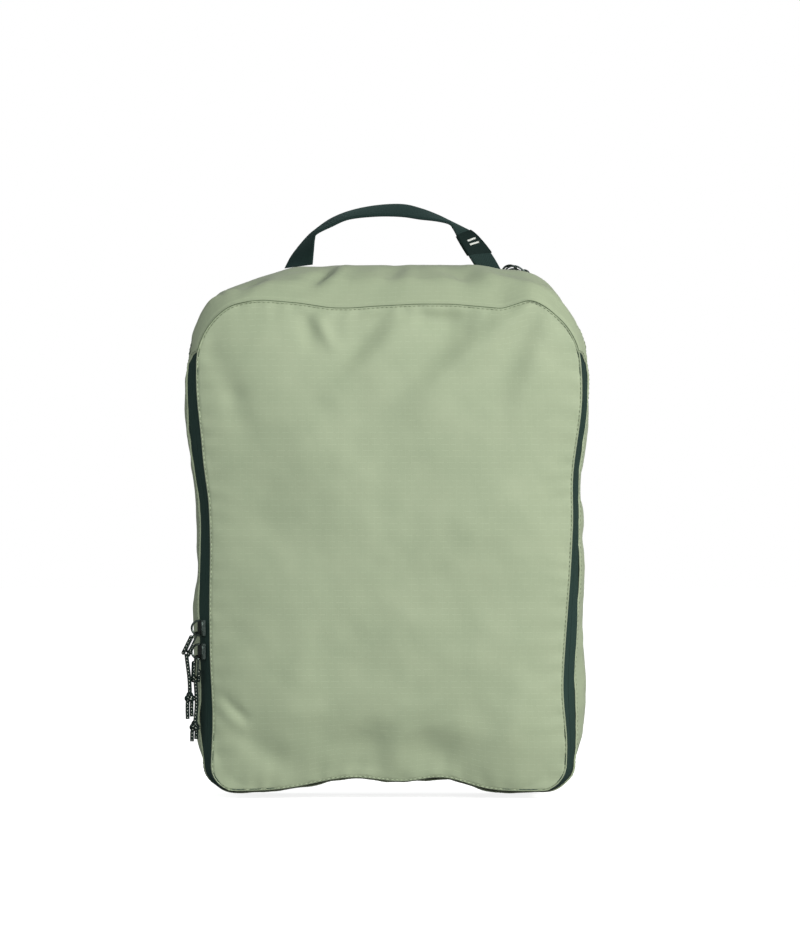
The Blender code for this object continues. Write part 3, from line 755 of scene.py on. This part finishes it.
def gusset_folds(sign, point, depth):
    """Folds across the gusset, deepest between its middle seam and its edge."""
    middle = sin(pi * min(1.0, depth / (46 * MM)))
    height = folds(point, GUSSET_FOLDS) * middle if sign < 0 else 0.0
    height += 2.2 * MM * middle * ripple(point, 22 * MM, 2.0 + sign)
    height += 0.8 * MM * middle * ripple(point, 9 * MM, 6.0 + sign)
    return height


def gusset_depths(edge):
    """Depths from the gusset's edge to the middle seam, closer at the edge."""
    depths = [edge - value * MM for value in (0.0, 0.5, 1.0, 1.5, 2.0, 2.6, 3.2, 4.2)]
    return depths + [depths[-1] * (1.0 - step / 13) for step in range(1, 13)] + [0.05 * MM]


def gusset_grid(sign):
    """The gusset's outer points: narrow beside the zip, and as wide as the panel's seam above it."""
    free_step = ARC_STEP - 4 if sign < 0 else REAR_END - 3
    widening = 8.0 if sign < 0 else 4.0
    narrow = gusset_depths(GUSSET_Y + 0.2 * MM)
    wide = gusset_depths(SEAM_Y + 0.15 * MM)
    grid = []
    for step in range(LOOP_STEPS):
        from_bottom = min(step, LOOP_STEPS - step)
        share = min(1.0, max(0.0, (from_bottom - free_step) / widening))
        depths = [a + (b - a) * share for a, b in zip(narrow, wide)]
        row = []
        for depth in depths:
            outline = wall_outline(sign, depth)
            base = loop_point(outline, step)
            lift = hem(depths[0] - depth) + gusset_folds(sign, base, depth)
            lift -= 0.5 * MM * bump(depth, 0.0, 1.6 * MM)
            row.append(drape(base + outward_way(outline, step) * lift))
        grid.append(row)
    return grid


gusset_grids = {sign: gusset_grid(sign) for sign in (-1, 1)}


def away_from_middle(point):
    return Vector((point[0], 0.0, point[2] - CREST_Z / 2))


def make_gussets():
    for sign, node in ((-1, "front_gusset"), (1, "rear_gusset")):
        place(shell(f"{node}_cloth", gusset_grids[sign], FABRIC, sage), "shell_fabric", "shell", node)


# --- Zips ---

def band_grid(sign, depths, lift, end):
    """Rows of points along a zip, over depths from its coil line."""
    lines = [inset(tape_outline(sign, depth), -lift) for depth in depths]
    return [[drape(loop_point(line, step)) for line in lines] for step in range(-end, end + 1)]


def coil_half(sign, way, end):
    """One nylon coil: a flat helix that runs along the tape's inner edge."""
    pitch = 1.35 * MM
    half_breadth = 1.05 * MM
    half_height = 0.5 * MM
    line = inset(tape_outline(sign, way * 1.25 * MM), 2.3 * MM)
    base = tape_outline(sign, 0.0)
    inner = tape_outline(sign, 5 * MM)
    path = []
    travelled = 0.0
    for step in range(-end, end):
        here = loop_point(line, step)
        gap = loop_point(line, step + 1) - here
        along_depth = (loop_point(inner, step + 1) - loop_point(base, step + 1)).normalized() * way
        outward = outward_way(base, step + 1)
        ticks = max(1, round(gap.length / (pitch / 6)))
        for tick in range(ticks):
            share = tick / ticks
            angle = 2 * pi * (travelled + gap.length * share) / pitch
            turn = along_depth * (half_breadth * cos(angle)) + outward * (half_height * sin(angle))
            path.append(drape(here + gap * share + turn))
        travelled += gap.length
    return tube(path, 0.3 * MM, False, 5)


def make_zip(side, sign, flap_body):
    """Both halves of a zip: the tape, the coil and the binding over the tape's inner edge."""
    end = FRONT_END if sign < 0 else REAR_END
    for half, way, body, reach in (("flap", -1, flap_body, 6.9), ("body", 1, "shell", 7.7)):
        depths = [way * value * MM for value in (0.12, 0.5, 1.2, 2.4, 4.2, reach)]
        grid = band_grid(sign, depths, -0.95 * MM, end)
        tape = shell(f"{side}_zip_{half}_tape_cloth", grid, TAPE, tape_cloth, False)
        place(tape, "zip_tape", body, f"{side}_zip_{half}_tape")
        coil = finish_mesh(f"{side}_zip_{half}_coil_turns", coil_half(sign, way, end), coil_nylon)
        place(coil, "zip_coil", body, f"{side}_zip_{half}_coil")
        grid = band_grid(sign, [way * value * MM for value in (3.0, 4.0, 5.0, 5.9)], -1.75 * MM, end)
        cover = shell(f"{side}_{half}_binding_tape", grid, 0.5 * MM, binding_cloth, False)
        place(cover, "binding", body, f"{side}_{half}_binding")


# --- Stitching ---

STITCH = 2.3 * MM
PAUSE = 0.8 * MM
THREAD_RADIUS = 0.16 * MM


def stitch_row(path, normals):
    """Short raised stitches along a path of points with surface normals."""
    parts = []
    pending = 0.0
    stitch = []
    inside = True
    for index in range(1, len(path)):
        gap = path[index] - path[index - 1]
        if gap.length < 1e-9:
            continue
        covered = 0.0
        while covered < gap.length:
            limit = STITCH if inside else PAUSE
            step = min(limit - pending, gap.length - covered, 0.6 * MM)
            covered += step
            pending += step
            if inside:
                stitch.append((path[index - 1] + gap * (covered / gap.length), normals[index]))
            if pending >= limit - 1e-9:
                if inside and len(stitch) > 2:
                    parts.append(one_stitch(stitch))
                stitch = []
                inside = not inside
                pending = 0.0
    return parts


def one_stitch(samples):
    """A stitch that rises from the cloth and dips back at both ends."""
    last = len(samples) - 1
    points = []
    sizes = []
    for index, (point, normal) in enumerate(samples):
        arch = sin(pi * index / last)
        points.append(point + normal * (THREAD_RADIUS * (1.6 * arch + 0.1)))
        sizes.append(THREAD_RADIUS * (0.55 + 0.45 * arch))
    return tube(points, sizes, False, 5)


def panel_edge_path(distance, first, last):
    """A path inside the front panel's seam, at a distance from it."""
    path = []
    line = inset(FRONT_SEAM, distance)
    for step in range(first, last):
        here = loop_point(line, step)
        gap = loop_point(line, step + 1) - here
        for part in range(4):
            base = here + gap * (part / 4)
            path.append(front_point(base.x, base.z))
    return path, [FRONT] * len(path)


def wall_edge_path(sign, distance, first, last):
    """A path on the gusset, inside the edge that is sewn to the zip tape."""
    grid = gusset_grids[sign]
    path = []
    normals = []
    for step in range(first, last + 1):
        row = grid[step % LOOP_STEPS]
        column = 1
        gap = row[1] - row[0]
        left = distance
        while gap.length < left:
            left -= gap.length
            column += 1
            gap = row[column] - row[column - 1]
        path.append(row[column - 1] + gap * (left / gap.length))
        normal = (grid[(step + 1) % LOOP_STEPS][column] - row[column]).cross(gap).normalized()
        outside = normal.dot(away_from_middle(row[column])) > 0
        normals.append(normal if outside else -normal)
    return path, normals


def add_stitches(name, body, rows, material=sage_thread, slot="shell_fabric"):
    parts = []
    for path, normals in rows:
        parts += stitch_row(path, normals)
    place(finish_mesh(name, gather(parts), material), slot, body)


def make_stitching():
    """Topstitching beside each zip, a row along the panel's top, and a dark thread tube in its top seam that
    is partly the seam's thread and partly a painted shadow line.
    """
    head_end = LOOP_STEPS - FRONT_END
    add_stitches("front_flap_topstitch", "front_flap", [panel_edge_path(1.1 * MM, -FRONT_END, FRONT_END)])
    add_stitches("front_head_topstitch", "shell", [panel_edge_path(1.4 * MM, FRONT_END + 3, head_end - 3)])
    # The seam tube: partly the seam's thread, partly a painted shadow line along the seam's groove.
    line, normals = panel_edge_path(0.1 * MM, FRONT_END - 1, head_end + 1)
    raised = [point + normal * (0.5 * MM) for point, normal in zip(line, normals)]
    seam = finish_mesh("front_head_seam_shade_thread", tube(raised, 0.3 * MM, False, 6), sage_thread)
    place(seam, "shell_fabric", "shell")
    for side, sign, end in (("front", -1, FRONT_END), ("rear", 1, REAR_END)):
        add_stitches(f"{side}_gusset_topstitch", "shell", [wall_edge_path(sign, 1.5 * MM, -end, end)])


# --- Back panel ---

WINDOW = Outline(SEAM_Y, 84 * MM, 4 * MM, 44 * MM, 304 * MM, 30 * MM, 30 * MM)


def back_point(x, z, lift=0.0):
    flat = Vector((x, SEAM_Y, z))
    distance = edge_distance(REAR_SEAM, x, z)
    rise = crown(REAR_SEAM, x, z) + hem(distance) + lift
    rise += 0.9 * MM * ripple(flat, 48 * MM, 21.0) * ease(distance / (20 * MM))
    rise += 0.4 * MM * ripple(flat, 16 * MM, 25.0) * ease(distance / (8 * MM))
    flat.y += rise
    return drape(flat)


def back_ring(outline, lift=0.0):
    bases = [loop_point(outline, step) for step in range(LOOP_STEPS)]
    return [back_point(base.x, base.z, lift) for base in bases]


def make_back_panel():
    shares = [0.0, 0.011, 0.022, 0.034, 0.046, 0.06, 0.08, 0.11]
    shares += [0.11 + 0.89 * step / 15 for step in range(1, 16)]
    grid = list(zip(*[back_ring(mix(REAR_SEAM, WINDOW, share)) for share in shares]))
    uvs = [(point.x, point.z) for row in grid for point in row]
    border = shell("back_border_cloth", grid, FABRIC, sage, True, BACK, uvs)
    place(border, "shell_fabric", "rear_flap", "back_panel_border")
    section = ((-4.5, 0.25), (-4.2, 0.7), (-2.0, 0.8), (2.0, 0.8), (4.2, 0.7), (4.5, 0.25))
    grid = list(zip(*[back_ring(inset(WINDOW, offset * MM), lift * MM) for offset, lift in section]))
    cover = shell("window_binding_tape", grid, 0.2 * MM, binding_cloth, True, BACK)
    place(cover, "binding", "rear_flap", "window_binding")
    rows = [(back_ring(inset(WINDOW, offset * MM), 0.85 * MM), [BACK] * LOOP_STEPS) for offset in (-3.2, 3.2)]
    add_stitches("window_binding_stitches", "rear_flap", rows, dark_thread, "binding")
    rows = [(back_ring(inset(REAR_SEAM, 2.4 * MM)), [BACK] * LOOP_STEPS)]
    add_stitches("back_border_topstitch", "rear_flap", rows)


def make_net():
    """The window's knitted net: crossed threads with open diamond holes."""
    spacing = 3.2 * MM
    half = WINDOW.half + WINDOW.flare
    count = int((half * 2 + WINDOW.top - WINDOW.low) / spacing)
    parts = []
    for slope in (1, -1):
        for line in range(-count, count):
            path = []
            x = -half
            while x <= half:
                z = slope * x + line * spacing * sqrt(2) + (WINDOW.low + WINDOW.top) / 2
                inside = WINDOW.low + 0.5 * MM < z < WINDOW.top - 0.5 * MM
                if inside and abs(x) < half_width(WINDOW, z) - 0.5 * MM:
                    weave = 0.12 * MM * slope * (1 if floor(x / spacing * sqrt(2)) % 2 else -1)
                    path.append(back_point(x, z, -0.45 * MM + weave))
                x += spacing / sqrt(2)
            if len(path) > 2:
                parts.append(tube(path, 0.32 * MM, False, 4))
    net = finish_mesh("back_window_net", gather(parts), net_thread)
    place(net, "mesh", "rear_flap", "back_mesh_window")


# --- Inside ---

DIVIDER = inset(MIDDLE, FABRIC + 1.0 * MM)


def divider_point(x, z):
    fullness = ease(edge_distance(DIVIDER, x, z) / (40 * MM))
    return drape((x, 1.6 * MM * ripple((x, 0.0, z), 60 * MM, 31.0) * fullness, z))


def even_columns(half):
    return [half * (column / 40 - 1.0) for column in range(81)]


def make_inside():
    """The divider between the compartments and the binding over its seam."""
    heights = [DIVIDER.low + (DIVIDER.top - DIVIDER.low) * row / 100 for row in range(101)]
    outer, uvs = sheet(DIVIDER, heights, even_columns, divider_point)
    divider = shell("divider_cloth", outer, 0.6 * MM, sage, False, FRONT, uvs)
    place(divider, "shell_fabric", "shell", "divider_panel")
    lines = [inset(wall_outline(-1, depth * MM), FABRIC + 0.8 * MM) for depth in (5.8, 4.2, 2.6, 1.2)]
    grid = [[drape(loop_point(line, step)) for line in lines] for step in range(LOOP_STEPS)]
    cover = shell("middle_binding_tape", grid, 0.5 * MM, binding_cloth)
    place(cover, "binding", "shell", "middle_seam_binding")


# --- Handle and label ---

# The webbing seen from the front: its upper edge (x, z) and lower edge (x, z) in millimetres.
# Where the two are closer than the webbing is wide, the webbing turns edge on.
HANDLE_EDGES = (
    ((-69.8, 358.8), (-50.6, 361.2)), ((-65.0, 367.8), (-50.2, 369.4)),
    ((-55.6, 379.4), (-49.6, 379.0)), ((-49.0, 385.4), (-47.7, 382.7)),
    ((-37.8, 393.2), (-37.6, 387.7)), ((-23.8, 398.7), (-25.8, 392.6)),
    ((-6.4, 402.1), (-7.4, 394.6)), ((11.0, 402.8), (10.0, 394.4)),
    ((24.0, 399.8), (23.0, 392.6)), ((35.0, 395.6), (34.4, 391.4)),
    ((42.6, 391.9), (43.0, 389.3)), ((52.2, 387.2), (46.0, 385.8)),
    ((58.8, 383.6), (49.6, 379.0)), ((65.6, 376.8), (53.0, 373.0)),
    ((72.6, 367.6), (57.0, 366.4)), ((78.2, 358.0), (60.3, 360.9)),
)
WEBBING_WIDTH = webbing_high.y - webbing_low.y
UPPER_EDGE = [Vector((x * MM, 0.0, z * MM)) for (x, z), lower in HANDLE_EDGES]
LOWER_EDGE = [Vector((x * MM, 0.0, z * MM)) for upper, (x, z) in HANDLE_EDGES]
HANDLE_STEPS = 150


def handle_frames():
    """Centre, width direction and face direction at each step along the webbing."""
    frames = []
    uppers = smooth_path(UPPER_EDGE, HANDLE_STEPS)
    lowers = smooth_path(LOWER_EDGE, HANDLE_STEPS)
    centres = [(upper + lower) / 2 for upper, lower in zip(uppers, lowers)]
    for step in range(HANDLE_STEPS + 1):
        ahead = centres[min(HANDLE_STEPS, step + 1)] - centres[max(0, step - 1)]
        seen = (uppers[step] - lowers[step]) / WEBBING_WIDTH
        turned = sqrt(max(0.0, 1.0 - seen.length_squared))
        width_way = (seen + Vector((0.0, turned, 0.0))).normalized()
        face_way = ahead.cross(width_way).normalized()
        if face_way.y > 0:
            face_way.negate()
        frames.append((centres[step], width_way, face_way))
    return frames


def sleeve(name, frames, half_breadth, half_thickness, material):
    """A flat ribbon with rounded edges and a slight bow, along part of the handle."""
    rings = []
    travelled = 0.0
    for row, (centre, width_way, face_way) in enumerate(frames):
        if row:
            travelled += (centre - frames[row - 1][0]).length
        section = []
        for angle in angles(24):
            across = half_breadth * max(-1.0, min(1.0, 1.12 * cos(angle)))
            rise = half_thickness * max(-1.0, min(1.0, 2.0 * sin(angle)))
            bow = 0.5 * MM * (across / half_breadth) ** 2
            section.append((centre + width_way * across + face_way * (rise - bow), (travelled, across)))
        rings.append(section)
    return finish_mesh(name, swept(rings, False), material, 50)


LABEL_FIRST = 117
LABEL_LAST = 138


def label_place(frames, along, across, lift):
    """A place on the label's front: along and across run from 0 to 1."""
    at = LABEL_FIRST + along * (LABEL_LAST - LABEL_FIRST)
    step = int(at)
    centre, width_way, face_way = frames[step]
    centre = centre.lerp(frames[step + 1][0], at - step)
    return centre + width_way * ((across - 0.5) * WEBBING_WIDTH) + face_way * lift


def make_handle():
    frames = handle_frames()
    strap = sleeve("handle_strap", frames, WEBBING_WIDTH / 2, 0.8 * MM, webbing_cloth)
    place(strap, "webbing", "handle", "handle_webbing")
    label = sleeve("handle_label_cloth", frames[LABEL_FIRST:LABEL_LAST + 1],
                   WEBBING_WIDTH / 2 + 0.7 * MM, 1.3 * MM, label_cloth)
    place(label, "label", "handle", "handle_label")
    bars = []
    for along in (0.42, 0.60):
        path = [label_place(frames, along, 0.26 + 0.06 * step, 1.15 * MM) for step in range(9)]
        bars.append(tube(path, 0.75 * MM, False, 6))
    place(finish_mesh("label_mark", gather(bars), pale_thread), "label", "handle")


# --- Pulls ---

def finish_metal():
    """Give the metal parts that the frame keeps the same plating as the rear wire."""
    for node in ("upper_slider", "lower_slider", "rear_slider", "upper_pull_wire", "lower_pull_wire"):
        materials = frame["nodes"][node].data.materials
        materials.clear()
        materials.append(metal)


def ring(centre, long_way, short_way, half_length, half_breadth):
    """A closed loop of cord, longer than it is wide."""
    path = [centre + long_way * half_length * cos(angle) + short_way * half_breadth * sin(angle)
            for angle in angles(40)]
    return tube(path, CORD, True)


def overhand_knot(centre, down, side, across, size):
    path = [centre + side * (sin(angle) + 2 * sin(2 * angle)) * 0.74 * size
            + down * (cos(angle) - 2 * cos(2 * angle)) * 0.80 * size
            - across * sin(3 * angle) * 1.3 * size for angle in angles(60)]
    return tube(path, CORD, True)


def pair_of_strands(strand, side, across, knot_share):
    """Two strands, one behind the other down to the knot and side by side below it."""
    parts = []
    last = len(strand) - 1
    for way in (-1, 1):
        path = []
        for index, point in enumerate(strand):
            turn = ease((index / last - knot_share + 0.08) / 0.16) * pi / 2
            offset = across * cos(turn) + side * sin(turn)
            length = 1.0 if way > 0 or index < last else 0.55
            before = strand[max(0, index - 1)]
            path.append(before + (point - before) * length + offset * way * (CORD + 0.06 * MM))
        parts.append(tube(smooth_path(path, 6 * last), CORD, False, 12))
    return parts


def finish_cord(prefix, parts):
    cord = finish_mesh(f"{prefix}_pull_braid", gather(parts), cord_cloth)
    place(cord, "cord", f"{prefix}_cord", f"{prefix}_pull_cord")


def make_front_cord(prefix, knot_share, extra_length, lean):
    """A cord hitched round the wire's end, with an overhand knot and two tails."""
    tip = Vector(joints[f"{prefix}_cord_swing"]["pos_m"])
    anchor = Vector(joints[f"{prefix}_pull_swing"]["pos_m"])
    down = Vector((0.0, 0.0, -1.0))
    side = Vector((-1.0, 0.0, 0.0))
    wire = (anchor - tip).normalized()
    off_wire = Vector((-wire.z, 0.0, wire.x)).normalized()
    parts = [ring(tip + wire * 4.2 * MM + off_wire * 2.0 * MM, wire, BACK, 6.0 * MM, 1.7 * MM),
             ring(tip + wire * 1.6 * MM - off_wire * 1.7 * MM, wire, BACK, 3.2 * MM, 1.5 * MM)]
    length = tip.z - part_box(f"{prefix}_pull_cord")[0].z + extra_length
    strand = []
    for step in range(STRAND_STEPS + 1):
        share = step / STRAND_STEPS
        sway = lean * share + 0.6 * MM * sin(6.0 * share + knot_share * 3)
        strand.append(tip + down * (1.2 * MM + (length - 1.2 * MM) * share) + side * sway)
    parts += pair_of_strands(strand, side, BACK, knot_share)
    parts.append(overhand_knot(strand[round(STRAND_STEPS * knot_share)], down, side, BACK, 1.12 * MM))
    finish_cord(prefix, parts)


def make_rear_pull():
    """The rear wire arches over the zip, and its cord lies on the tape behind the shoulder."""
    anchor = Vector(joints["rear_pull_swing"]["pos_m"])
    tip = Vector(joints["rear_cord_swing"]["pos_m"])
    centre = Vector(joints["rear_slider_travel"]["pos_m"])
    across = Vector(joints["rear_pull_swing"]["axis"])
    reach = tip.x - anchor.x
    wire = []
    for angle in angles(40):
        along = 0.5 - 0.5 * cos(angle)
        breadth = 2.4 * MM * max(-1.0, min(1.0, 1.5 * sin(angle)))
        rise = 2.6 * MM * sin(pi * along) - 3.4 * MM * along ** 2
        wire.append(anchor + Vector((reach * along, 0.0, rise)) + across * breadth)
    loop = finish_mesh("rear_pull_arch", tube(wire, 0.65 * MM, True), metal)
    place(loop, "gunmetal", "rear_pull", "rear_pull_wire")
    tape_radius = REAR_SEAM.top_radius + 3 * MM
    radius = tape_radius + CORD + 0.1 * MM
    strand = []
    for step in range(STRAND_STEPS + 1):
        turn = radians(17) + step / STRAND_STEPS * 21 * MM / tape_radius
        out = Vector((sin(turn), 0.0, cos(turn)))
        strand.append(Vector((centre.x, tip.y - 1.2 * MM, centre.z)) + out * radius)
    down = (strand[3] - strand[0]).normalized()
    side = Vector((down.z, 0.0, -down.x))
    hitch = anchor + Vector((reach * 0.93, 0.0, -2.6 * MM))
    parts = [ring(hitch, down, side, 2.4 * MM, 1.9 * MM)]
    parts += pair_of_strands(strand, BACK, BACK, 0.5)
    parts.append(overhand_knot(strand[5], down, BACK, side, 0.7 * MM))
    finish_cord("rear", parts)


# --- Assembly ---

make_front_panel()
make_gussets()
make_zip("front", -1, "front_flap")
make_zip("rear", 1, "rear_flap")
make_stitching()
make_back_panel()
make_net()
make_inside()
make_handle()
finish_metal()
make_front_cord("upper", 0.66, 1.5 * MM, -2.4 * MM)
make_front_cord("lower", 0.78, 3.0 * MM, 0.8 * MM)
make_rear_pull()


# --- Floor, light and camera ---

def make_floor():
    """A floor that looks white to the camera and throws little light on the cube."""
    size = 9.0
    corners = [(x * size, y * size, -1.5 * MM) for x, y in ((-1, -1), (1, -1), (1, 1), (-1, 1))]
    mesh = bpy.data.meshes.new("floor")
    mesh.from_pydata(corners, [], [(0, 1, 2, 3)])
    nodes = new_material("pale_floor", {"Roughness": 1.0, "Specular IOR Level": 0.0,
                                        "Emission Color": (1.0, 1.0, 1.0)})
    seen = nodes.add("LightPath", {}, "Is Camera Ray")
    pale = nodes.mix_colour(nodes.noise(3.0), (0.86, 0.86, 0.86), (0.88, 0.88, 0.88))
    nodes.paint({"Base Color": nodes.mix_colour(seen, (0.35, 0.35, 0.35), pale),
                 "Emission Strength": seen * 0.85})
    mesh.materials.append(nodes.owner)
    add_object("floor", mesh)


def make_world():
    """White behind the cube, a dimmer white that lights it, and dark surroundings behind it in gloss."""
    world = bpy.data.worlds.new("studio")
    nodes = Nodes(world, "Background", {"Color": (0.97, 1.0, 1.0)})
    direction = nodes.add("TexCoord", {}, "Generated")
    behind = (nodes.add("SeparateXYZ", {0: direction}, "Y") + 0.3) * 1.4
    behind = nodes.math("MINIMUM", nodes.math("MAXIMUM", behind, 0.0), 0.95)
    dimmed = nodes.add("LightPath", {}, "Is Glossy Ray") * behind
    overhead = nodes.math("MAXIMUM", nodes.add("SeparateXYZ", {0: direction}, "Z"), 0.0) * 0.55
    undimmed = nodes.math("SUBTRACT", 1.0, dimmed) * 0.46
    nodes.paint({"Strength": nodes.math("SUBTRACT", 1.0, overhead) * undimmed})
    light = Value(nodes, nodes.surface.outputs[0])
    backdrop = nodes.add("Background", {"Color": (1.0, 1.0, 1.0)})
    seen = nodes.add("LightPath", {}, "Is Camera Ray")
    chosen = nodes.add("MixShader", {0: seen, 1: light, 2: backdrop})
    nodes.feed(nodes.tree.nodes["World Output"].inputs["Surface"], chosen)
    bpy.context.scene.world = world


def add_light(name, location, target, size, power, colour):
    data = bpy.data.lights.new(name, "AREA")
    data.shape = "DISK"
    data.size = size
    data.energy = power
    data.color = colour
    light = add_object(name, data)
    light.location = location
    light.rotation_euler = (Vector(target) - Vector(location)).to_track_quat("-Z", "Y").to_euler()


def make_camera():
    """A level view of the front from far away, centred a little to the right."""
    data = bpy.data.cameras.new("camera")
    distance = 5.0
    frame_height = 0.646
    data.sensor_width = 36
    data.lens = data.sensor_width * distance / frame_height
    camera = add_object("camera", data)
    camera.location = (9.2 * MM, -distance - 20 * MM, 217.6 * MM)
    camera.rotation_euler = (radians(90), 0.0, 0.0)
    bpy.context.scene.camera = camera
    bpy.context.scene.view_settings.view_transform = "Standard"


make_floor()
make_world()
add_light("key", (2.1, -1.4, 1.3), (0.0, 0.0, 0.2), 0.7, 49, (1.0, 0.99, 0.94))
add_light("front", (0.6, -3.0, 0.9), (0.0, 0.0, 0.2), 1.0, 34, (1.0, 1.0, 1.0))
add_light("fill", (-1.7, -1.6, 0.9), (0.0, 0.0, 0.18), 1.2, 7, (0.93, 1.0, 0.98))
make_camera()
